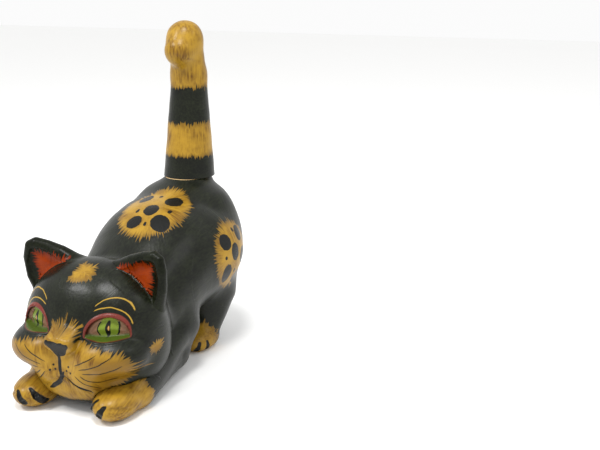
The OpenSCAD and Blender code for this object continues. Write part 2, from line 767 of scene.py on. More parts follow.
def box_cutter(low: Point, high: Point, turn: Matrix | None = None) -> bpy.types.Object:
    """A box between two corners, turned afterwards if asked.

    Args:
        low: One corner.
        high: The other corner.
        turn: What turns and moves it, if anything.

    Returns:
        The box.
    """
    bm = bmesh.new()
    size = [abs(b - a) for a, b in zip(low, high)]
    middle = [0.5 * (a + b) for a, b in zip(low, high)]
    place = Matrix.Translation(middle) @ Matrix.Diagonal((*size, 1.0))
    bmesh.ops.create_cube(bm, size=1.0, matrix=(turn or Matrix.Identity(4)) @ place)
    bmesh.ops.recalc_face_normals(bm, faces=bm.faces)
    return new_object("cutter", bm)


def cut(block: bpy.types.Object, tool: bpy.types.Object, how: Cut = Cut.AWAY) -> None:
    """Cuts a block with a tool, or keeps what both share, and leaves the tool.

    Args:
        block: The block.
        tool: The cutter, whose faces become bare wood on the block.
        how: What the cutter does.
    """
    tool.data.materials.clear()
    tool.data.materials.append(None)
    tool.data.materials.append(None)
    tool.data.polygons.foreach_set("material_index", [1] * len(tool.data.polygons))
    modifier = block.modifiers.new("cut", "BOOLEAN")
    modifier.operation = how.value
    modifier.object = tool
    modifier.solver = "MANIFOLD"
    apply_modifiers(block)


def copy_of(block: bpy.types.Object, name: str) -> bpy.types.Object:
    """A copy of a block with a mesh of its own.

    Args:
        block: The block.
        name: Name of the copy.

    Returns:
        The copy.
    """
    copy = block.copy()
    copy.data = block.data.copy()
    copy.name = name
    bpy.context.scene.collection.objects.link(copy)
    return copy


def drop(*tools: bpy.types.Object) -> None:
    """Removes cutters that have done their work.

    Args:
        tools: The cutters.
    """
    for tool in tools:
        mesh = tool.data
        bpy.data.objects.remove(tool)
        bpy.data.meshes.remove(mesh)


def finish_mesh(block: bpy.types.Object, crisp: float = 38.0) -> bpy.types.Object:
    """Turns a block to metres and shades it smooth except round its sawn faces.

    Args:
        block: The carved block, in millimetres.
        crisp: Angle above which a sawn edge stays sharp, in degrees.

    Returns:
        The same block.
    """
    bm = bmesh.new()
    bm.from_mesh(block.data)
    bmesh.ops.dissolve_degenerate(bm, dist=0.002, edges=bm.edges)
    bmesh.ops.triangulate(bm, faces=[f for f in bm.faces if len(f.verts) > 4])
    bmesh.ops.scale(bm, vec=(MM, MM, MM), verts=bm.verts)
    for face in bm.faces:
        face.smooth = True
    for edge in bm.edges:
        sawn = any(face.material_index for face in edge.link_faces)
        edge.smooth = not sawn or edge.calc_face_angle(0.0) < math.radians(crisp)
    bm.to_mesh(block.data)
    bm.free()
    return block


# --------------------------------------------------------------------------
# Paint: patches of brushed hairs, kept on the mesh for the finishes to read
# --------------------------------------------------------------------------


class Plane(Enum):
    """A plane that a patch is outlined in, with its two axes."""

    FACE = (0, 2)
    CROWN = (0, 1)


@dataclass(frozen=True)
class Spot:
    """A round patch whose hairs point outwards.

    Attributes:
        at: Its middle.
        across: From the middle to its edge one way.
        along: From the middle to its edge the other way.
        hair: Length of the hairs.
        depth: How far below its middle the patch reaches.
    """

    at: Point
    across: Point
    along: Point
    hair: float
    depth: float = 28.0

    def strokes(self, points: Array) -> tuple[Array, Array]:
        """Hair lengths inside the patch, and the place across its strokes.

        Args:
            points: Places, one row each.

        Returns:
            Both, one row for each place.
        """
        off = points - np.array(self.at)
        across, along = np.array(self.across), np.array(self.along)
        pair = np.stack([off @ axis / (axis @ axis) for axis in (across, along)], axis=1)
        out = np.linalg.norm(pair, axis=1)
        size = 0.5 * (np.linalg.norm(across) + np.linalg.norm(along))
        up = np.cross(across, along)
        above = off @ up / np.linalg.norm(up) + self.depth
        turn = size * pair / np.maximum(out, 1e-6)[:, None]
        edge = np.minimum((1.0 - out) * size, above) / self.hair
        return edge, np.column_stack([turn, np.zeros(len(points))])


@dataclass(frozen=True)
class Splash:
    """A patch of any outline.

    Attributes:
        outline: Corners in the patch's plane, each with the hairs' length there.
        plane: The plane of the outline.
        front: A place and a direction: the patch lies ahead of that place.
    """

    outline: tuple[Point, ...]
    plane: Plane
    front: tuple[Point, Point]

    def strokes(self, points: Array) -> tuple[Array, Array]:
        """Hair lengths inside the patch, and the place across its strokes.

        Args:
            points: Places, one row each.

        Returns:
            Both, one row for each place.
        """
        flat = points[:, list(self.plane.value)]
        count = len(points)
        gap, arc, hair = np.full(count, np.inf), np.zeros(count), np.ones(count)
        inside = np.zeros(count, dtype=bool)
        run = 0.0
        for a, b in zip(self.outline, self.outline[1:] + self.outline[:1]):
            start, along = np.array(a[:2]), np.array(b[:2]) - np.array(a[:2])
            t = np.clip((flat - start) @ along / (along @ along), 0.0, 1.0)
            away = np.linalg.norm(flat - start - t[:, None] * along, axis=1)
            near = away < gap
            gap = np.where(near, away, gap)
            arc = np.where(near, run + t * np.linalg.norm(along), arc)
            hair = np.where(near, a[2] + t * (b[2] - a[2]), hair)
            passed = (a[1] > flat[:, 1]) != (b[1] > flat[:, 1])
            slant = along[0] / along[1] if along[1] else 0.0
            inside ^= passed & (flat[:, 0] < a[0] + slant * (flat[:, 1] - a[1]))
            run += float(np.linalg.norm(along))
        turn = 2.0 * math.pi * arc / run
        size = run / (2.0 * math.pi)
        place, ahead = (np.array(v, dtype=float) for v in self.front)
        depth = np.minimum(np.where(inside, gap, -gap), (points - place) @ ahead)
        ring = np.column_stack([np.cos(turn), np.sin(turn), np.zeros(count)])
        return depth / hair, size * ring


@dataclass(frozen=True)
class Band:
    """A patch between two parallel planes, its hairs along their normal.

    Attributes:
        at: A place midway between the planes.
        axis: Their normal, one long.
        half: Half the width of the band.
        hair: Length of the hairs.
    """

    at: Point
    axis: Point
    half: float
    hair: float

    def strokes(self, points: Array) -> tuple[Array, Array]:
        """Hair lengths inside the patch, and the place across its strokes.

        Args:
            points: Places, one row each.

        Returns:
            Both, one row for each place.
        """
        off = points - np.array(self.at)
        along = off @ np.array(self.axis)
        return (self.half - np.abs(along)) / self.hair, off - along[:, None] * np.array(self.axis)


@dataclass(frozen=True)
class Sock:
    """A patch that covers a foot.

    Attributes:
        egg: The egg that it fills.
        hair: Length of the hairs.
    """

    egg: Egg
    hair: float

    def strokes(self, points: Array) -> tuple[Array, Array]:
        """Hair lengths inside the patch, and the place across its strokes.

        Args:
            points: Places, one row each.

        Returns:
            Both, one row for each place.
        """
        off = points - np.array(self.egg.at)
        size = sum(self.egg.half) / 3.0
        out = np.maximum(np.linalg.norm(off, axis=1), 1e-6)
        return -self.egg.distance(points) / self.hair, size * off / out[:, None]


Patch = Spot | Splash | Band | Sock


@dataclass(frozen=True)
class PaintPlan:
    """Where ochre, red and black paint lie on a block.

    Attributes:
        once: Hairy patches as they are.
        twice: Hairy patches on both sides of the cat.
        ink_once: Black marks as they are.
        ink_twice: Black marks on both sides of the cat.
        apart: How far the strokes of the two sides are apart in the brushwork.
    """

    once: tuple[Patch, ...] = ()
    twice: tuple[Patch, ...] = ()
    ink_once: tuple[Form, ...] = ()
    ink_twice: tuple[Form, ...] = ()
    apart: float = 37.0

    def lay(self, block: bpy.types.Object) -> None:
        """Writes the attributes hair, edge and ink on a finished block.

        Args:
            block: The block, in metres.
        """
        mesh = block.data
        points = np.empty(len(mesh.vertices) * 3)
        mesh.vertices.foreach_get("co", points)
        points = points.reshape(-1, 3) / MM
        folded = np.abs(points) * (1, 0, 0) + points * (0, 1, 1)
        edge, ink, hair = np.full(len(points), -9.0), np.full(len(points), -9.0), points.copy()
        for patches, seen in ((self.once, points), (self.twice, folded)):
            for patch in patches:
                depth, across = patch.strokes(seen)
                if seen is folded:
                    across = across + self.apart * (points[:, :1] < 0.0)
                better = depth > edge
                edge = np.where(better, depth, edge)
                hair = np.where(better[:, None], across, hair)
        for forms, seen in ((self.ink_once, points), (self.ink_twice, folded)):
            for form in forms:
                ink = np.maximum(ink, -form.distance(seen))
        for name, kind, field, values in (
            ("hair", "FLOAT_VECTOR", "vector", hair),
            ("edge", "FLOAT", "value", np.clip(edge, -9.0, 9.0)),
            ("ink", "FLOAT", "value", ink),
        ):
            layer = mesh.attributes.new(name, kind, "POINT")
            layer.data.foreach_set(field, np.ascontiguousarray(values, dtype=np.float32).ravel())


# --------------------------------------------------------------------------
# Finishes
# --------------------------------------------------------------------------


def linear(hex_colour: str) -> tuple[float, float, float, float]:
    """Turns an sRGB hex colour into the linear colour that a socket takes.

    Args:
        hex_colour: The colour, with its hash.

    Returns:
        Red, green, blue and an alpha of 1.
    """
    parts = [int(hex_colour[i : i + 2], 16) / 255.0 for i in (1, 3, 5)]
    red, green, blue = (
        part / 12.92 if part <= 0.04045 else ((part + 0.055) / 1.055) ** 2.4 for part in parts
    )
    return red, green, blue, 1.0


Socket = bpy.types.NodeSocket


class NodeTree:
    """The nodes of one material, added one by one."""

    def __init__(self, name: str) -> None:
        """Starts an empty material.

        Args:
            name: Name of the material.
        """
        self.material = bpy.data.materials.new(name)
        self.material.use_nodes = True
        self.tree = self.material.node_tree
        self.tree.nodes.clear()

    def add(
        self,
        kind: str,
        links: dict[int | str, Socket | float | tuple],
        out: int | str = 0,
        **settings: object,
    ) -> Socket:
        """Adds a node.

        Args:
            kind: Its type, without the words that all types start with.
            links: What each input takes: another node's output, or a value.
            out: The output that is wanted.
            settings: The node's own settings.

        Returns:
            That output.
        """
        node = self.tree.nodes.new("ShaderNode" + kind)
        for key, value in settings.items():
            setattr(node, key, value)
        for key, value in links.items():
            if isinstance(value, bpy.types.NodeSocket):
                self.tree.links.new(value, node.inputs[key])
            else:
                node.inputs[key].default_value = value
        return node.outputs[out]

    def close(self, shader: Socket) -> bpy.types.Material:
        """Leads a shader to the output and returns the material.

        Args:
            shader: The last shader.

        Returns:
            The material.
        """
        node = self.tree.nodes.new("ShaderNodeOutputMaterial")
        self.tree.links.new(shader, node.inputs["Surface"])
        return self.material

    def places(self) -> Socket:
        """Places on the piece, in millimetres."""
        own = self.tree.nodes.new("ShaderNodeTexCoord").outputs["Object"]
        return self.add("VectorMath", {0: own, "Scale": 1.0 / MM}, operation="SCALE")


@dataclass(frozen=True)
class Line:
    """A thin brush line, bent evenly through three places of the face's plane.

    Attributes:
        places: Start, middle and end.
        half: Half its width at its middle.
        blunt: How far along its ends stay wide, from 0 to 1.
    """

    places: tuple[tuple[float, float], tuple[float, float], tuple[float, float]]
    half: float
    blunt: float = 0.2

    def cover(self, tree: NodeTree, flat: Socket) -> Socket:
        """How much of each place of the plane the line covers.

        Args:
            tree: The material's nodes.
            flat: Places in the face's plane, in millimetres.

        Returns:
            The cover, from 0 to 1.
        """
        (ax, ay), (bx, by), (cx, cy) = self.places
        d = 2.0 * (ax * (by - cy) + bx * (cy - ay) + cx * (ay - by))
        a2, b2, c2 = ax * ax + ay * ay, bx * bx + by * by, cx * cx + cy * cy
        middle = Vector(
            (
                (a2 * (by - cy) + b2 * (cy - ay) + c2 * (ay - by)) / d,
                (a2 * (cx - bx) + b2 * (ax - cx) + c2 * (bx - ax)) / d,
            )
        )
        start, end = Vector((ax, ay)) - middle, Vector((cx, cy)) - middle
        radius = start.length
        toward = (start + end).normalized()
        reach = start.normalized().dot(toward)
        full = reach + (1.0 - reach) * (1.0 - self.blunt)
        away = tree.add("VectorMath", {0: flat, 1: (*middle, 0.0)}, operation="SUBTRACT")
        length = tree.add("VectorMath", {0: away}, out=1, operation="LENGTH")
        beside = tree.add("Math", {0: length, 1: radius}, operation="SUBTRACT")
        beside = tree.add("Math", {0: beside}, operation="ABSOLUTE")
        along = tree.add(
            "VectorMath", {0: away, 1: (*(toward / radius), 0.0)}, out=1, operation="DOT_PRODUCT"
        )
        width = tree.add("MapRange", {0: along, 1: reach, 2: full, 3: -0.25, 4: self.half})
        beside = tree.add("Math", {0: beside, 1: width}, operation="SUBTRACT")
        return tree.add("MapRange", {0: beside, 1: 0.2, 2: -0.15})


@dataclass(frozen=True)
class FaceLines:
    """The lines brushed on the face with a rigger brush, for one side or the whole.

    Attributes:
        brows: Ochre brow lines, both sides.
        whiskers: Black whiskers, both sides.
        mouth: Black lines of the mouth.
        dots: Black dots at the roots of the whiskers.
        dot: Radius of a dot.
        pad_darkening: How far the muzzle's outer, lower pads are darkened to the deep colour, from
            0 to 1.
        pad_darkening_x: Where that begins and is full, as |x|.
        pad_darkening_z: The same as z, from above.
        brow_paint: Ochre of the brows.
        whisker_paint: Brownish black of the whiskers.
    """

    brows: tuple[Line, ...] = (
        Line(((22, 90.5), (35, 96.6), (49.7, 85.5)), 0.34, 0.8),
        Line(((21.7, 87.2), (35, 89.9), (50.3, 75.7)), 0.34, 0.8),
    )
    whiskers: tuple[Line, ...] = (
        Line(((14, 47.4), (24.2, 52.4), (32.5, 58.4)), 0.45, 0.7),
        Line(((17.3, 44.3), (33.7, 49.9), (44.7, 57)), 0.45, 0.7),
        Line(((19.7, 41.5), (36.4, 43), (52.2, 49.8)), 0.45, 0.7),
        Line(((18, 39.9), (30.2, 32.9), (40.9, 33.7)), 0.45, 0.7),
        Line(((14.1, 38.8), (21.9, 30.8), (29.5, 26.2)), 0.45, 0.7),
    )
    mouth: tuple[Line, ...] = (
        Line(((0.3, 56), (-0.9, 46), (0.3, 35)), 1.7, 0.95),
        Line(((0.4, 39), (-4.5, 29.5), (-16, 22.5)), 2.0, 0.8),
        Line(((0.5, 38), (9.5, 29), (22, 22.5)), 1.15, 0.8),
    )
    dots: tuple[tuple[float, float], ...] = ((7, 44.5), (5.2, 41), (9.5, 40))
    dot: float = 0.95
    pad_darkening: float = 0.62
    pad_darkening_x: tuple[float, float] = (10.0, 34.0)
    pad_darkening_z: tuple[float, float] = (61.0, 53.0)
    brow_paint: str = "#a8862f"
    whisker_paint: str = "#1d160c"


@dataclass(frozen=True)
class EyePaint:
    """Colours of the painted eye.

    Attributes:
        shape: The carved eye that they fill.
        lid: Maroon of the lids.
        groove: Darker maroon in the groove under the upper lid.
        white: Pinkish white of the eye.
        iris: Green of the iris.
        iris_dark: Deeper green of the iris and along the lower lid.
        glint: Small warm light in the slit.
        glint_at: Its middle.
        glint_half: Its half-sizes.
    """

    shape: Eye
    lid: str = "#6b2a20"
    groove: str = "#32120b"
    white: str = "#7d5c45"
    iris: str = "#6a7c24"
    iris_dark: str = "#3f4f14"
    glint: str = "#b98a48"
    glint_at: tuple[float, float] = (34.0, 74.3)
    glint_half: tuple[float, float] = (0.6, 1.9)


@dataclass(frozen=True)
class LacqueredPaint:
    """Satin lacquer over brushed paint on carved wood: deep colour, soft broad lights.

    Attributes:
        name: Name of the material.
        ground: Greenish black of the ground.
        ground_light: The same where the brush left less paint.
        patch: Colour of the hairy patches.
        patch_deep: The same where the paint is thick, and on the face's outer, lower muzzle pads.
        patch_edge: The same at the thin ends of the hairs.
        ink: Black of marks on the patches.
        stroke: Distance between the hairs.
        rough: Roughness of the lacquer.
        ragged: How far the hairs differ in length, in hair lengths.
        level: Strength of the mirror light of the paint below the lacquer.
        coat: How much of a clear second coat lies on top.
        wear: Size of the thinly painted places of the ground, in millimetres.
        brush: How often the ground's brush marks repeat along each axis, per millimetre.
        brush_turn: How the brush marks lie, in radians.
        grit: Size of the fine unevenness below the lacquer, in millimetres.
        tremor: Size of the waverings of a mark's edge, in millimetres.
        wander: How far a mark's edge wavers either way, in millimetres.
        drift: How fast the hairs change along their length.
        eye: Colours of the eye, on the face only.
        lines: Lines brushed on the face only.
    """

    name: str
    ground: str = "#070903"
    ground_light: str = "#1c2012"
    patch: str = "#a58025"
    patch_deep: str = "#573507"
    patch_edge: str = "#6c5014"
    ink: str = "#0b0c09"
    stroke: float = 1.6
    rough: float = 0.33
    ragged: float = 3.2
    level: float = 0.19
    coat: float = 0.07
    wear: float = 19.0
    brush: Point = (0.75, 0.045, 0.6)
    brush_turn: Point = (0.5, 0.75, 0.35)
    grit: float = 1.1
    tremor: float = 3.1
    wander: float = 0.9
    drift: float = 0.45
    eye: EyePaint | None = None
    lines: FaceLines | None = None

    def material(self) -> bpy.types.Material:
        """Builds the paint from the ground up, then the lacquer.

        Returns:
            The material.
        """
        tree = NodeTree(self.name)
        at = tree.places()
        # The ground, thinner where the broad clouds and the brush marks meet
        clouds = {"Vector": at, "Scale": 1 / self.wear, "Detail": 4.0, "Roughness": 0.6}
        broad = tree.add("TexNoise", clouds)
        turned = tree.add("Mapping", {0: at, "Rotation": self.brush_turn, "Scale": self.brush})
        brushed = tree.add("TexNoise", {"Vector": turned, "Scale": 1.0, "Detail": 3.0})
        grain = tree.add("TexNoise", {"Vector": at, "Scale": 1 / self.grit, "Detail": 2.0})
        worn = tree.add("Math", {0: broad, 1: brushed}, operation="MULTIPLY")
        worn = tree.add("MapRange", {0: worn, 1: 0.14, 2: 0.42})
        # The hairy patches: strands run in from the edge, each of its own length
        edge = tree.add("Attribute", {}, out="Fac", attribute_name="edge")
        hair = tree.add("Attribute", {}, out="Vector", attribute_name="hair")
        ink = tree.add("Attribute", {}, out="Fac", attribute_name="ink")
        drift = tree.add("Math", {0: edge, 1: self.drift}, operation="MULTIPLY")
        strands = {"Vector": hair, "W": drift, "Scale": 1 / self.stroke, "Detail": 1.5}
        strands["Roughness"] = 0.5
        hairs = tree.add("TexNoise", strands, noise_dimensions="4D")
        length = tree.add("MapRange", {0: hairs, 3: -0.5 * self.ragged, 4: 0.5 * self.ragged})
        depth = tree.add("Math", {0: edge, 1: length}, operation="ADD")
        patch = tree.add("MapRange", {0: depth, 1: -0.05, 2: 0.09})
        # Thick paint is deep in colour, and the thin ends of the strands let the ground through
        thick = tree.add("MapRange", {0: hairs, 1: 0.34, 2: 0.66, 3: 0.25, 4: 1.0})
        pooled = tree.add("MapRange", {0: broad, 1: 0.36, 2: 0.64, 3: 0.05, 4: 0.95})
        thick = tree.add("Math", {0: thick, 1: pooled}, operation="MULTIPLY")
        # On the face, the outer, lower muzzle pads take the deep colour as well
        if self.lines:
            thick = tree.add("Math", {0: thick, 1: self.pad_darkening(tree, at)}, operation="MAXIMUM")
        thin = tree.add("MapRange", {0: depth, 1: 0.8, 2: 0.0})
        ochre = linear(self.patch)
        for cover, paint in ((thick, self.patch_deep), (thin, self.patch_edge)):
            mix = {0: cover, 6: ochre, 7: linear(paint)}
            ochre = tree.add("Mix", mix, out=2, data_type="RGBA")
        # Black marks with an unsteady edge
        waver = tree.add("TexNoise", {"Vector": at, "Scale": 1 / self.tremor, "Detail": 2.0})
        waver = tree.add("MapRange", {0: waver, 3: -self.wander, 4: self.wander})
        ink = tree.add("Math", {0: ink, 1: waver}, operation="ADD")
        mark = tree.add("MapRange", {0: ink, 1: -0.12, 2: 0.22})
        # Ground, patches and marks lie over one another, and the face over them
        colour = linear(self.ground)
        ground_light, black = linear(self.ground_light), linear(self.ink)
        for cover, paint in ((worn, ground_light), (patch, ochre), (mark, black)):
            mix = {0: cover, 6: colour, 7: paint}
            colour = tree.add("Mix", mix, out=2, data_type="RGBA")
        if self.lines and self.eye:
            colour = self.face(tree, at, colour)
        # Thick paint stands up a little, and brush marks and wood grain show through the lacquer
        raised = tree.add("Math", {0: patch, 1: thick}, operation="ADD")
        reliefs = ((raised, 0.5, 0.2), (brushed, 0.28, 0.4), (grain, 0.12, 0.3))
        relief = {}
        for height, strength, deep in reliefs:
            bump = {"Strength": strength, "Distance": deep * MM, "Height": height}
            relief = {"Normal": tree.add("Bump", bump | relief)}
        gloss = tree.add("MapRange", {0: brushed, 3: self.rough - 0.07, 4: self.rough + 0.11})
        lacquer = {
            "Base Color": colour,
            "Roughness": gloss,
            "IOR": 1.5,
            "Specular IOR Level": self.level,
            "Coat Weight": self.coat,
            "Coat Roughness": 0.2,
        }
        return tree.close(tree.add("BsdfPrincipled", lacquer | relief))

    def pad_darkening(self, tree: NodeTree, at: Socket) -> Socket:
        """How far the muzzle's outer, lower pads are darkened at each place.

        Args:
            tree: The material's nodes.
            at: Places in millimetres.

        Returns:
            The darkening, from 0 to 1.
        """
        x = tree.add("SeparateXYZ", {0: at}, out="X")
        z = tree.add("SeparateXYZ", {0: at}, out="Z")
        side = tree.add("Math", {0: x}, operation="ABSOLUTE")
        (start, end), (top, full) = self.lines.pad_darkening_x, self.lines.pad_darkening_z
        outer = tree.add("MapRange", {0: side, 1: start, 2: end, 4: self.lines.pad_darkening})
        low = tree.add("MapRange", {0: z, 1: top, 2: full})
        return tree.add("Math", {0: outer, 1: low}, operation="MULTIPLY")

    def face(self, tree: NodeTree, at: Socket, colour: Socket) -> Socket:
        """Paints eyes, brows, whiskers and mouth over a colour.

        Args:
            tree: The material's nodes.
            at: Places in millimetres.
            colour: The paint below.

        Returns:
            The paint with the face on it.
        """
        shaky = tree.add("TexNoise", {"Vector": at, "Scale": 1 / 9}, out="Color")
        shaky = tree.add("VectorMath", {0: shaky, 1: (0.5, 0.5, 0.5)}, operation="SUBTRACT")
        shaky = tree.add("VectorMath", {0: shaky, "Scale": 1.7}, operation="SCALE")
        moved = tree.add("VectorMath", {0: at, 1: shaky}, operation="ADD")
        planes = []
        for source in (at, moved):
            x = tree.add("SeparateXYZ", {0: source}, out="X")
            z = tree.add("SeparateXYZ", {0: source}, out="Z")
            side = tree.add("Math", {0: x}, operation="ABSOLUTE")
            planes.append(tree.add("CombineXYZ", {"X": side, "Y": z}))
            planes.append(tree.add("CombineXYZ", {"X": x, "Y": z}))
        calm, _, folded, whole = planes
        y = tree.add("SeparateXYZ", {0: at}, out="Y")
        front = tree.add("MapRange", {0: y, 1: -70.0, 2: -73.0})
        colour = self.eyes(tree, calm, front, colour)
        strokes = []
        for lines, flat, paint in (
            (self.lines.brows, folded, self.lines.brow_paint),
            (self.lines.whiskers, folded, self.lines.whisker_paint),
            (self.lines.mouth, whole, self.ink),
        ):
            strokes += [(line.cover(tree, flat), paint) for line in lines]
        inner, outer = self.lines.dot - 0.2, self.lines.dot + 0.2
        for dot in self.lines.dots:
            away = tree.add("VectorMath", {0: folded, 1: (*dot, 0.0)}, out=1, operation="DISTANCE")
            strokes.append((tree.add("MapRange", {0: away, 1: outer, 2: inner}), self.ink))
        for cover, paint in strokes:
            cover = tree.add("Math", {0: cover, 1: front}, operation="MULTIPLY")
            mix = {0: cover, 6: colour, 7: linear(paint)}
            colour = tree.add("Mix", mix, out=2, data_type="RGBA")
        return colour

    def eyes(self, tree: NodeTree, flat: Socket, front: Socket, colour: Socket) -> Socket:
        """Paints both eyes over a colour.

        Args:
            tree: The material's nodes.
            flat: Places in the face's plane, folded to one side.
            front: 1 on the front of the head.
            colour: The paint below.

        Returns:
            The paint with the eyes on it.
        """
        eye, paint = self.eye.shape, self.eye
        brim_at = (eye.middle[0], eye.middle[1] + 0.75 * eye.lid)
        # How far each place lies outside the three arcs that bound lid and eye
        arcs = []
        for middle, radius in (
            (eye.middle, eye.upper_r),
            (eye.low, eye.lower_r),
            (brim_at, eye.upper_r + 0.35 * eye.lid),
        ):
            away = tree.add("VectorMath", {0: flat, 1: (*middle, 0.0)}, out=1, operation="DISTANCE")
            arcs.append(tree.add("Math", {0: away, 1: radius}, operation="SUBTRACT"))
        above, below, brim = arcs
        around = tree.add("Math", {0: brim, 1: below}, operation="MAXIMUM")
        outside = tree.add("Math", {0: above, 1: below}, operation="MAXIMUM")
        # Iris, slit and glint, each 1 at its edge
        ovals = []
        for middle, half in (
            (eye.iris, eye.iris_half),
            (eye.iris, eye.pupil_half),
            (paint.glint_at, paint.glint_half),
        ):
            stretch = (1 / half[0], 1 / half[1], 0.0)
            off = tree.add("VectorMath", {0: flat, 1: (*middle, 0.0)}, operation="SUBTRACT")
            off = tree.add("VectorMath", {0: off, 1: stretch}, operation="MULTIPLY")
            ovals.append(tree.add("VectorMath", {0: off}, out=1, operation="LENGTH"))
        iris, pupil, glint = ovals
        # The black arcs on both sides of the iris
        ring = tree.add("Math", {0: iris, 1: 1.0, 2: 0.07}, operation="COMPARE")
        height = tree.add("SeparateXYZ", {0: flat}, out="Y")
        beside = {0: height, 1: eye.iris[1], 2: 0.62 * eye.iris_half[1]}
        level = tree.add("Math", beside, operation="COMPARE")
        ring = tree.add("Math", {0: ring, 1: level}, operation="MULTIPLY")
        open_eye = tree.add("MapRange", {0: outside, 1: 0.25, 2: -0.05})
        opening = tree.add("Math", {0: open_eye, 1: front}, operation="MULTIPLY")
        layers = (
            (tree.add("MapRange", {0: around, 1: 0.5, 2: 0.1}), front, paint.lid),
            # Darker maroon at the edge of the opening, left showing under the upper lid: painted
            # shade
            (tree.add("MapRange", {0: outside, 1: 0.5, 2: 0.0}), opening, paint.groove),
            (tree.add("MapRange", {0: outside, 1: -0.5, 2: -1.6}), opening, paint.white),
            (tree.add("MapRange", {0: iris, 1: 1.12, 2: 0.98}), opening, paint.iris),
            (tree.add("MapRange", {0: below, 1: -2.6, 2: -1.2}), opening, paint.iris_dark),
            (ring, opening, self.ink),
            (tree.add("MapRange", {0: pupil, 1: 1.08, 2: 0.92}), opening, self.ink),
            (tree.add("MapRange", {0: glint, 1: 1.15, 2: 0.85}), opening, paint.glint),
        )
        for cover, where, here in layers:
            cover = tree.add("Math", {0: cover, 1: where}, operation="MULTIPLY")
            mix = {0: cover, 6: colour, 7: linear(here)}
            colour = tree.add("Mix", mix, out=2, data_type="RGBA")
        return colour


@dataclass(frozen=True)
class PaleWood:
    """Unpainted light wood: straight pale grain, dull, with fine pores along it.

    Attributes:
        name: Name of the material.
        early: Colour of the pale early wood.
        late: Colour of the darker late wood.
        ring: Distance between growth rings.
        pores: Distance between pores.
        tilt: How the grain is turned.
        rough: Roughness.
    """

    name: str
    early: str = "#d9bd8c"
    late: str = "#b08a55"
    ring: float = 3.5
    pores: float = 0.5
    tilt: Point = (0.0, 0.0, 0.0)
    rough: float = 0.62

    def material(self) -> bpy.types.Material:
        """Builds the wood, its grain running up along Z before it is turned.

        Returns:
            The material.
        """
        tree = NodeTree(self.name)
        at = tree.places()
        along = tree.add("Mapping", {0: at, "Rotation": self.tilt, "Scale": (1.0, 1.0, 0.06)})
        rings = tree.add(
            "TexWave",
            {"Vector": along, "Scale": 1 / self.ring, "Distortion": 3.0, "Detail": 2.0},
            wave_type="RINGS",
            rings_direction="Z",
        )
        pores = tree.add("TexNoise", {"Vector": along, "Scale": 1 / self.pores, "Detail": 3.0})
        shade = tree.add("Math", {0: rings, 1: pores}, operation="MULTIPLY")
        mix = {0: shade, 6: linear(self.early), 7: linear(self.late)}
        colour = tree.add("Mix", mix, out=2, data_type="RGBA")
        relief = tree.add("Bump", {"Strength": 0.4, "Distance": 0.0002, "Height": pores})
        gloss = tree.add("MapRange", {0: pores, 3: self.rough - 0.08, 4: self.rough + 0.12})
        wood = {"Base Color": colour, "Roughness": gloss, "Normal": relief, "IOR": 1.45}
        return tree.close(tree.add("BsdfPrincipled", wood))


# --------------------------------------------------------------------------
# The blocks
# --------------------------------------------------------------------------


@dataclass
class Workshop:
    """What all blocks are made with.

    Attributes:
        shape: The masses and planes that all blocks share.
        nodes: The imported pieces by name.
        cut_wood: Bare wood of the cut faces.
        coat: Finish of the greenish black coat.
        room: Room around a dowel in its bore.
        joint_low: Low corner of the space of a foreleg's joint, in its own axes.
        joint_high: High corner of that space.
    """

    shape: Anatomy
    nodes: dict[str, bpy.types.Object]
    cut_wood: bpy.types.Material
    coat: bpy.types.Material
    room: float = 0.05
    joint_low: Point = (-25.0, -0.01, -110.0)
    joint_high: Point = (85.0, 62.0, 0.0)

    def shoulder_box(self, side: Side, below: bool) -> bpy.types.Object:
        """The space of a foreleg's joint, below its flat, or what is above it.

        Args:
            side: The side of the foreleg.
            below: Whether the space below the flat is wanted.

        Returns:
            The cutter.
        """
        a = self.shape
        tilt = math.radians(a.shoulder_tilt)
        along = Vector((math.cos(tilt) * side.value, 0.0, math.sin(tilt)))
        off = Vector((-math.sin(tilt) * side.value, 0.0, math.cos(tilt)))
        turn = Matrix((along, Vector((0, 1, 0)), off)).transposed().to_4x4()
        place = Matrix.Translation((a.shoulder_x * side.value, a.neck_y, a.shoulder_z)) @ turn
        if below:
            return box_cutter(self.joint_low, self.joint_high, place)
        far = -self.joint_low[2]
        return box_cutter((-far, 0.0, 0.0), (far, FAR, far), place)

    def bore(self, block: bpy.types.Object, *names: str) -> None:
        """Bores a block for the dowels named, each a little wider than its dowel.

        Args:
            block: The block.
            names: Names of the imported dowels, pegs or pins.
        """
        bm = bmesh.new()
        for name in names:
            bm.from_mesh(self.nodes[name].data)
        bmesh.ops.remove_doubles(bm, verts=bm.verts, dist=1e-6)
        bmesh.ops.scale(bm, vec=(1 / MM, 1 / MM, 1 / MM), verts=bm.verts)
        bmesh.ops.recalc_face_normals(bm, faces=bm.faces)
        bm.normal_update()
        for vert in bm.verts:
            vert.co += vert.normal * vert.calc_shell_factor() * self.room
        tool = new_object("cutter", bm)
        cut(block, tool)
        drop(tool)

    def hand_over(
        self,
        block: bpy.types.Object,
        node: str,
        body: str,
        slot: str,
        plan: PaintPlan,
        paint: bpy.types.Material,
    ) -> None:
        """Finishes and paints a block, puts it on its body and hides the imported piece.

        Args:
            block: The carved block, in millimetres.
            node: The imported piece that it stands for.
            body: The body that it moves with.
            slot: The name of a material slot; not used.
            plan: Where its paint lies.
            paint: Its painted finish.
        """
        finish_mesh(block)
        plan.lay(block)
        block.data.materials[0] = paint
        block.data.materials[1] = self.cut_wood
        bare = sum(face.material_index == 1 for face in block.data.polygons)
        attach(block, body)
        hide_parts(node)
        LOG.info("%s: %d faces, %d of them bare wood", block.name, len(block.data.polygons), bare)


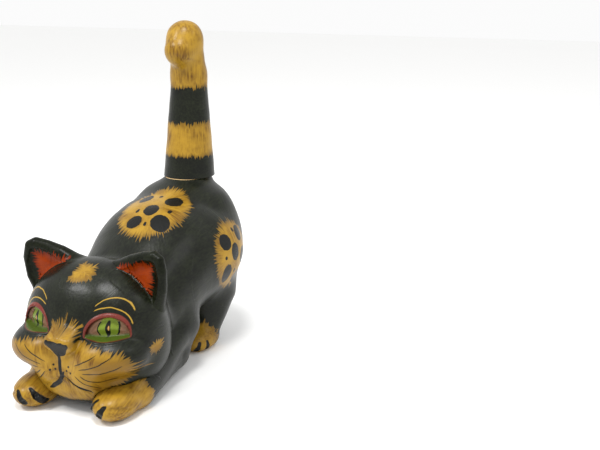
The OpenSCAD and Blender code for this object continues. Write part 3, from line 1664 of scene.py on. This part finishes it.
@dataclass
class Torso:
    """Loin, shoulders, hind legs and the seat of the tail.

    Attributes:
        workshop: What all blocks are made with.
        grit: Length of the mesh's edges.
        back_spot: Hairy ochre spot on the back.
        back_marks: Black marks in it, as (x, y, half x, half y).
        flank_spot: Hairy ochre spot on each flank.
        flank_marks: Black marks in it, as (y, z, half y, half z).
        mark_depth: How far the marks reach through the wood, so that they lie on its surface.
        sock: Ochre paint over each hind foot.
    """

    workshop: Workshop
    grit: float = 1.2
    back_spot: Spot = Spot((4, 28, 137), (30, 0, 0), (0, 39, 11), 6.0)
    back_marks: tuple[tuple[float, float, float, float], ...] = (
        (4.3, 21.1, 6.8, 8.4),
        (14.8, 43.8, 8.0, 10.0),
        (-13.1, 43.0, 5.8, 9.5),
        (-3.8, 4.2, 6.8, 7.0),
        (19.2, 9.6, 8.8, 8.8),
        (-1.1, 49.6, 1.7, 2.6),
        (-7.5, 17.5, 1.7, 2.6),
        (20.4, 25.8, 2.0, 2.8),
        (7.2, 4.0, 1.6, 2.2),
    )
    flank_spot: Spot = Spot((66, 66, 92), (0, 32, 0), (0, 0, 31), 6.0)
    flank_marks: tuple[tuple[float, float, float, float], ...] = (
        (51.8, 106.9, 8.0, 7.4),
        (63.8, 95.4, 6.4, 8.4),
        (51.4, 77.4, 7.0, 9.0),
        (78.6, 109.3, 7.5, 6.9),
        (82.0, 88.0, 8.0, 8.5),
        (74.0, 68.5, 8.0, 6.5),
        (69.6, 114.3, 1.9, 1.9),
        (48.3, 92.8, 1.9, 1.9),
        (64.2, 77.2, 1.9, 1.9),
    )
    mark_depth: float = 60.0
    sock: Sock = Sock(Egg((35, 49, 8), (17, 21, 18.5)), 5.5)

    def carve(self) -> bpy.types.Object:
        """Carves the block with its flats and bores.

        Returns:
            The block, in millimetres.
        """
        a = self.workshop.shape

        def surface(points: Array) -> Array:
            """Trunk, head and arms, before they are sawn apart.

            Args:
                points: Places, one row each.

            Returns:
                Their distances, negative inside.
            """
            folded = fold(points)
            return blend(a.body(folded), a.foreleg(folded), a.shoulder_fillet(folded))

        forms = [*a.trunk_forms(), a.thigh, a.hind_foot, a.skull, a.cheek, a.jaw, *a.arm]
        block = Carving("torso_block", forms, surface, self.grit).make()
        keep = box_cutter((-FAR, a.neck_y, 0.0), (FAR, FAR, a.seat_z))
        cut(block, keep, Cut.KEEP)
        sides = [self.workshop.shoulder_box(side, True) for side in Side]
        for tool in sides:
            cut(block, tool)
        drop(keep, *sides)
        dowels = [f"foreleg_dowel_{s}_{e}" for s in ("left", "right") for e in ("front", "rear")]
        self.workshop.bore(block, "tail_peg", "neck_dowel_left", "neck_dowel_right", *dowels)
        return block

    def build(self) -> None:
        """Makes and dresses the block."""
        a = self.workshop.shape
        plan = PaintPlan(
            once=(self.back_spot,),
            twice=(self.flank_spot, self.sock),
            ink_once=tuple(
                Egg((x, y, self.back_spot.at[2]), (hx, hy, self.mark_depth))
                for x, y, hx, hy in self.back_marks
            ),
            ink_twice=tuple(
                Egg((self.flank_spot.at[0], y, z), (self.mark_depth, hy, hz))
                for y, z, hy, hz in self.flank_marks
            )
            + tuple(claw.swollen(a.claw_ink) for claw in a.hind_claws),
        )
        workshop = self.workshop
        workshop.hand_over(self.carve(), "torso", "cat", "painted_coat", plan, workshop.coat)


@dataclass
class Head:
    """The head with its face, and the two ears seated on it.

    Attributes:
        workshop: What all blocks are made with.
        grit: Length of the mesh's edges.
        muzzle: Ochre paint over nose, cheeks and chin.
        forehead: Ochre brush mark on the crown.
        tuft: Small ochre tuft on each temple.
        nose: Black end of the nose.
        ear_patch: Red paint in each ear.
        scoop_edge: Rounding of the edge of each ear's hollow.
        arm_room: Room between the head and the arms under it.
        seat_room: How far above the skull an ear is parted from it.
        ear_room: How far round an ear its block reaches.
        red: Red of the ears.
        red_deep: The same where the paint is thick.
        red_edge: The same at the thin ends of the hairs.
        red_level: Strength of the mirror light in the ears.
    """

    workshop: Workshop
    grit: float = 0.9
    muzzle: Splash = Splash(
        (
            (-40, 80, 14),
            (0, 80, 14),
            (8, 78.5, 13),
            (12, 75, 7),
            (13, 70, 3),
            (14, 66, 3),
            (22, 64, 3),
            (31, 62.8, 4),
            (45, 59.5, 5),
            (53, 57, 6),
            (57.5, 51, 6.5),
            (58, 44, 6),
            (52, 36, 6),
            (46, 30, 5),
            (40, 26, 4),
            (31, 22, 3),
            (26, 17, 3),
            (20, 13, 3),
            (0, 11, 3),
            (-40, 11, 3),
        ),
        Plane.FACE,
        ((0, -72, 50), (0, -1, 0)),
    )
    forehead: Splash = Splash(
        ((-4, -74.5, 8), (10, -77, 7), (12.5, -92, 2.5), (2, -95.5, 4), (-8.5, -95, 3)),
        Plane.CROWN,
        ((0, 0, 84), (0, 0, 1)),
    )
    tuft: Spot = Spot((61.5, -77, 53.5), (0, 8, 1), (0, -1, 5), 5.0, 14.0)
    nose: Leaf = Leaf(
        ((-9.5, -126, 64.5), (8.7, -126, 63.5), (3, -122, 55.5), (-2, -121, 54)), (2, 2, 2, 2)
    )
    ear_patch: Splash = Splash(
        (
            (24, 116, 5),
            (45, 119.5, 6),
            (57, 120, 6),
            (56.5, 108, 5),
            (52.5, 90, 5),
            (40, 90, 1.5),
            (24, 106, 1.5),
        ),
        Plane.FACE,
        ((0, -63.5, 100), (0, -1, 0)),
    )
    scoop_edge: float = 0.8
    arm_room: float = 0.5
    seat_room: float = 1.0
    ear_room: float = 2.0
    red: str = "#8c3304"
    red_deep: str = "#742402"
    red_edge: str = "#601c02"
    red_level: float = 0.08

    def carve(self) -> tuple[bpy.types.Object, bpy.types.Object, bpy.types.Object]:
        """Carves head and ears as one and parts them.

        Returns:
            The head, the left ear and the right ear.
        """
        a = self.workshop.shape

        def surface(points: Array) -> Array:
            """Head and ears on the neck, hollowed, with room for the arms.

            Args:
                points: Places, one row each.

            Returns:
                Their distances, negative inside.
            """
            folded = fold(points)
            body = a.body(folded)
            scoop = np.maximum(a.ear_scoop.distance(folded), -body)
            eared = blend(body, a.ear_leaf.distance(folded), a.arm_fillet)
            eared = carve(eared, scoop, self.scoop_edge)
            return carve(eared, a.foreleg(folded) - self.arm_room, a.worn_edge)

        forms = [a.skull, a.cheek, *a.pads, a.philtrum, a.jaw, *a.bridge, a.shoulders, a.ear_leaf]
        block = Carving("head_block", forms, surface, self.grit).make()
        keep = box_cutter((-FAR, -FAR, 0.0), (FAR, a.neck_y, FAR))
        cut(block, keep, Cut.KEEP)
        bm = bmesh.new()
        Egg(a.skull.at, tuple(half + self.seat_room for half in a.skull.half)).rough(bm, 1.0)
        skull = new_object("cutter", bm)
        ears = []
        for side in Side:
            bm = bmesh.new()
            a.ear_leaf.swollen(self.ear_room).rough(bm, side.value)
            pocket = new_object("cutter", bm)
            cut(pocket, skull)
            ear = copy_of(block, f"ear_{side.name.lower()}_block")
            cut(ear, pocket, Cut.KEEP)
            cut(block, pocket)
            ears.append(ear)
            drop(pocket)
        drop(keep, skull)
        return block, ears[0], ears[1]

    def build(self) -> None:
        """Makes and dresses head and ears."""
        workshop = self.workshop
        head, *ears = self.carve()
        workshop.bore(
            head, "neck_dowel_left", "neck_dowel_right", "ear_pin_left", "ear_pin_right"
        )
        plan = PaintPlan(
            once=(self.forehead,), twice=(self.muzzle, self.tuft), ink_once=(self.nose,)
        )
        face = LacqueredPaint(
            "lacquered_face", eye=EyePaint(workshop.shape.eye), lines=FaceLines()
        )
        workshop.hand_over(head, "head", "cat", "painted_coat", plan, face.material())
        red = LacqueredPaint(
            "lacquered_ear",
            patch=self.red,
            patch_deep=self.red_deep,
            patch_edge=self.red_edge,
            level=self.red_level,
        ).material()
        for side, ear in zip(Side, ears):
            name = f"ear_{side.name.lower()}"
            workshop.bore(ear, f"ear_pin_{side.name.lower()}")
            plan = PaintPlan(twice=(self.ear_patch,))
            workshop.hand_over(ear, name, "cat", "painted_coat", plan, red)


@dataclass
class Foreleg:
    """One foreleg, glued on along its slanting flat.

    Attributes:
        workshop: What all blocks are made with.
        side: The side that it stands on.
        finish: Its painted finish.
        grit: Length of the mesh's edges.
        wrist: Ochre paint over the paw, up to the wrist.
        groove_edge: Rounding of the edges of the paw's grooves.
        skirt: How much of the body round the upper arm belongs to the block.
        skirt_start: How far behind the neck joint it has that width.
    """

    workshop: Workshop
    side: Side
    finish: bpy.types.Material
    grit: float = 0.9
    wrist: Band = Band((55, -130, 2.2), (0, 0.954, 0.301), 51.5, 6.0)
    groove_edge: float = 0.5
    skirt: float = 14.0
    skirt_start: float = 20.0

    def carve(self) -> bpy.types.Object:
        """Carves the block and cuts off its flats.

        Returns:
            The block, in millimetres.
        """
        a = self.workshop.shape

        def surface(points: Array) -> Array:
            """Arm and paw with their grooves, and the body a little way round them.

            Args:
                points: Places, one row each.

            Returns:
                Their distances, negative inside.
            """
            folded = fold(points)
            arm = a.foreleg(folded)
            full = blend(a.body(folded), arm, a.shoulder_fillet(folded))
            reach = self.skirt * rise(folded[:, 1], a.neck_y, a.neck_y + self.skirt_start)
            leg = np.maximum(full, arm - reach)
            for groove in a.fore_claws + a.fore_slots:
                leg = carve(leg, groove.distance(folded), self.groove_edge)
            return leg

        name = f"foreleg_{self.side.name.lower()}_block"
        block = Carving(name, [*a.arm, a.paw], surface, self.grit).make()
        keep = box_cutter((0.0, -FAR, 0.0), (FAR * self.side.value, FAR, FAR))
        cut(block, keep, Cut.KEEP)
        above = self.workshop.shoulder_box(self.side, False)
        cut(block, above)
        drop(keep, above)
        dowel = f"foreleg_dowel_{self.side.name.lower()}"
        self.workshop.bore(block, f"{dowel}_front", f"{dowel}_rear")
        return block

    def build(self) -> None:
        """Makes and dresses the block."""
        node = f"foreleg_{self.side.name.lower()}"
        a = self.workshop.shape
        claws = tuple(claw.swollen(a.claw_ink) for claw in a.fore_claws)
        plan = PaintPlan(twice=(self.wrist,), ink_twice=claws)
        self.workshop.hand_over(self.carve(), node, "cat", "painted_ochre", plan, self.finish)


@dataclass
class Tail:
    """The tail that turns on its peg and lifts off it.

    Attributes:
        workshop: What all blocks are made with.
        finish: Its painted finish.
        grit: Length of the mesh's edges.
        foot_r: Radius at the foot.
        neck_r: Radius where the hook begins.
        neck_z: Height of that place.
        bulb_r: Radius of the hooked end.
        hook_r: Radius of the hook's point.
        lean: How far back the stem leans where the hook begins.
        bend: How far ahead the top lies, and then the hook's point.
        drop: How far below the top the hook's point lies.
        bands: Ochre bands, as (middle, half width).
        hair: Length of the hairs at the bands' edges.
    """

    workshop: Workshop
    finish: bpy.types.Material
    grit: float = 0.9
    foot_r: float = 25.2
    neck_r: float = 16.3
    neck_z: float = 250.0
    bulb_r: float = 16.0
    hook_r: float = 14.5
    lean: float = 5.0
    bend: tuple[float, float] = (1.0, 11.0)
    drop: float = 26.0
    bands: tuple[tuple[float, float], ...] = ((191.3, 15.7), (290.0, 50.5))
    hair: float = 4.5

    def carve(self) -> bpy.types.Object:
        """Carves the block, its flat foot and the bore for the peg.

        Returns:
            The block, in millimetres.
        """
        a = self.workshop.shape
        y, top = a.tail_y, a.tail_top
        foot = (0, y, a.seat_z - 10)
        neck = (0, y + self.lean, self.neck_z)
        bulb = (0, y - self.bend[0], top - self.bulb_r)
        point = (0, y - self.bend[1], top - self.drop)
        stem = Limb(foot, neck, self.foot_r, self.neck_r)
        rod = Limb(neck, bulb, self.neck_r, self.bulb_r)
        hook = Limb(bulb, point, self.bulb_r, self.hook_r)

        def surface(points: Array) -> Array:
            """Stem and hook of the tail."""
            return joined(points, (stem, rod, hook), a.arm_fillet)

        block = Carving("tail_block", [stem, rod, hook], surface, self.grit).make()
        keep = box_cutter((-FAR, -FAR, a.seat_z + a.tail_gap), (FAR, FAR, FAR * 2))
        cut(block, keep, Cut.KEEP)
        drop(keep)
        self.workshop.bore(block, "tail_peg")
        return block

    def build(self) -> None:
        """Makes and dresses the block."""
        y = self.workshop.shape.tail_y
        bands = tuple(Band((0, y, z), (0, 0, 1), half, self.hair) for z, half in self.bands)
        plan = PaintPlan(once=bands)
        self.workshop.hand_over(self.carve(), "tail", "tail", "painted_ochre", plan, self.finish)


@dataclass
class Joinery:
    """The peg, dowels and pins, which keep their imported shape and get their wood.

    Attributes:
        nodes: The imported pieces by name.
        turned: Hard wood of the dowels and the peg, a little darker than the carving's.
        bamboo: Fine straight fibres of the split pins, smoother than wood.
    """

    nodes: dict[str, bpy.types.Object]
    turned: PaleWood = PaleWood("turned_dowel", "#cfae78", "#9c7440", 1.6, 0.35)
    bamboo: PaleWood = PaleWood(
        "split_bamboo", "#dcc78c", "#a88a48", 0.6, 0.25, (0.105, 0.663, 0.0), 0.45
    )

    def build(self) -> None:
        """Gives each dowel and pin its finish."""
        turned, bamboo = self.turned.material(), self.bamboo.material()
        for kind, finish in (("dowel", turned), ("peg", turned), ("pin", bamboo)):
            for name, node in self.nodes.items():
                if kind in name:
                    for slot in node.material_slots:
                        slot.material = finish
                    LOG.info("%s: %s", name, finish.name)


@dataclass(frozen=True)
class Studio:
    """Floor, lights and camera.

    Attributes:
        eye: Where the camera stands, in millimetres.
        azimuth: Its turn about the cat, in degrees.
        elevation: How far it looks down, in degrees.
        lens: Focal length for a 36 mm wide film.
        floor: Colour of the floor, a pale matt paper that takes soft shadows.
        floor_half: Half the floor's width, in metres.
        aim: Where the lamps point, in metres.
        lamps: Name, place, size and power of each soft lamp, in metres and watts.
        air: Strength of the light from all around.
    """

    eye: Point = (446.73, -736.65, 354.95)
    azimuth: float = 21.57
    elevation: float = 14.84
    lens: float = 60.0
    floor: str = "#f9f9f8"
    floor_half: float = 4.0
    aim: Point = (0.0, 0.0, 0.12)
    lamps: tuple[tuple[str, Point, float, float], ...] = (
        ("top", (0.2, -0.45, 1.45), 0.32, 11.0),
        ("front_left", (-0.62, -0.72, 1.32), 0.3, 10.0),
        ("right", (1.1, 0.15, 1.15), 0.36, 1.5),
    )
    air: float = 0.97

    def build(self) -> None:
        """Makes the floor, the lights and the camera."""
        bm = bmesh.new()
        bmesh.ops.create_grid(bm, x_segments=1, y_segments=1, size=self.floor_half)
        floor = new_object("floor", bm)
        pale = NodeTree("matt_paper")
        at = pale.places()
        fibre = pale.add("TexNoise", {"Vector": at, "Scale": 0.4, "Detail": 3.0})
        gloss = pale.add("MapRange", {0: fibre, 3: 0.85, 4: 0.95})
        shader = pale.add("BsdfPrincipled", {"Base Color": linear(self.floor), "Roughness": gloss})
        floor.data.materials.append(pale.close(shader))
        for name, at, size, power in self.lamps:
            lamp = bpy.data.lights.new(name, "AREA")
            lamp.size = size
            lamp.energy = power
            obj = bpy.data.objects.new(name, lamp)
            obj.location = at
            aim = Vector(self.aim) - Vector(at)
            obj.rotation_euler = aim.to_track_quat("-Z", "Y").to_euler()
            bpy.context.scene.collection.objects.link(obj)
        world = bpy.data.worlds.new("studio")
        world.use_nodes = True
        background = world.node_tree.nodes["Background"]
        background.inputs["Color"].default_value = (1, 1, 1, 1)
        background.inputs["Strength"].default_value = self.air
        bpy.context.scene.world = world
        bpy.context.scene.view_settings.view_transform = "Standard"
        lens = bpy.data.cameras.new("camera")
        lens.lens = self.lens
        lens.sensor_width = 36.0
        camera = bpy.data.objects.new("camera", lens)
        camera.location = [c * MM for c in self.eye]
        tilt, turn = math.radians(90.0 - self.elevation), math.radians(self.azimuth)
        camera.rotation_euler = (tilt, 0.0, turn)
        bpy.context.scene.collection.objects.link(camera)
        bpy.context.scene.camera = camera


def main() -> None:
    """Builds the cat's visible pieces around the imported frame."""
    logging.basicConfig(level=logging.INFO, format="%(name)s: %(message)s")
    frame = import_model()
    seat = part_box("torso")[1][2] / MM
    tail_low, tail_high = (Vector(corner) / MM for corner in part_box("tail"))
    peg_low, peg_high = (Vector(corner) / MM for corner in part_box("tail_peg"))
    shape = Anatomy(
        tail_y=0.5 * (peg_low.y + peg_high.y),
        seat_z=seat,
        tail_gap=tail_low.z - seat,
        tail_top=tail_high.z,
        neck_y=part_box("head")[1][1] / MM,
    )
    coat = LacqueredPaint("lacquered_coat").material()
    cut_wood = PaleWood("light_carving_wood").material()
    workshop = Workshop(shape, frame["nodes"], cut_wood, coat)
    Torso(workshop).build()
    Head(workshop).build()
    for side in Side:
        Foreleg(workshop, side, coat).build()
    Tail(workshop, coat).build()
    Joinery(frame["nodes"]).build()
    Studio().build()


if __name__ == "__main__":
    main()
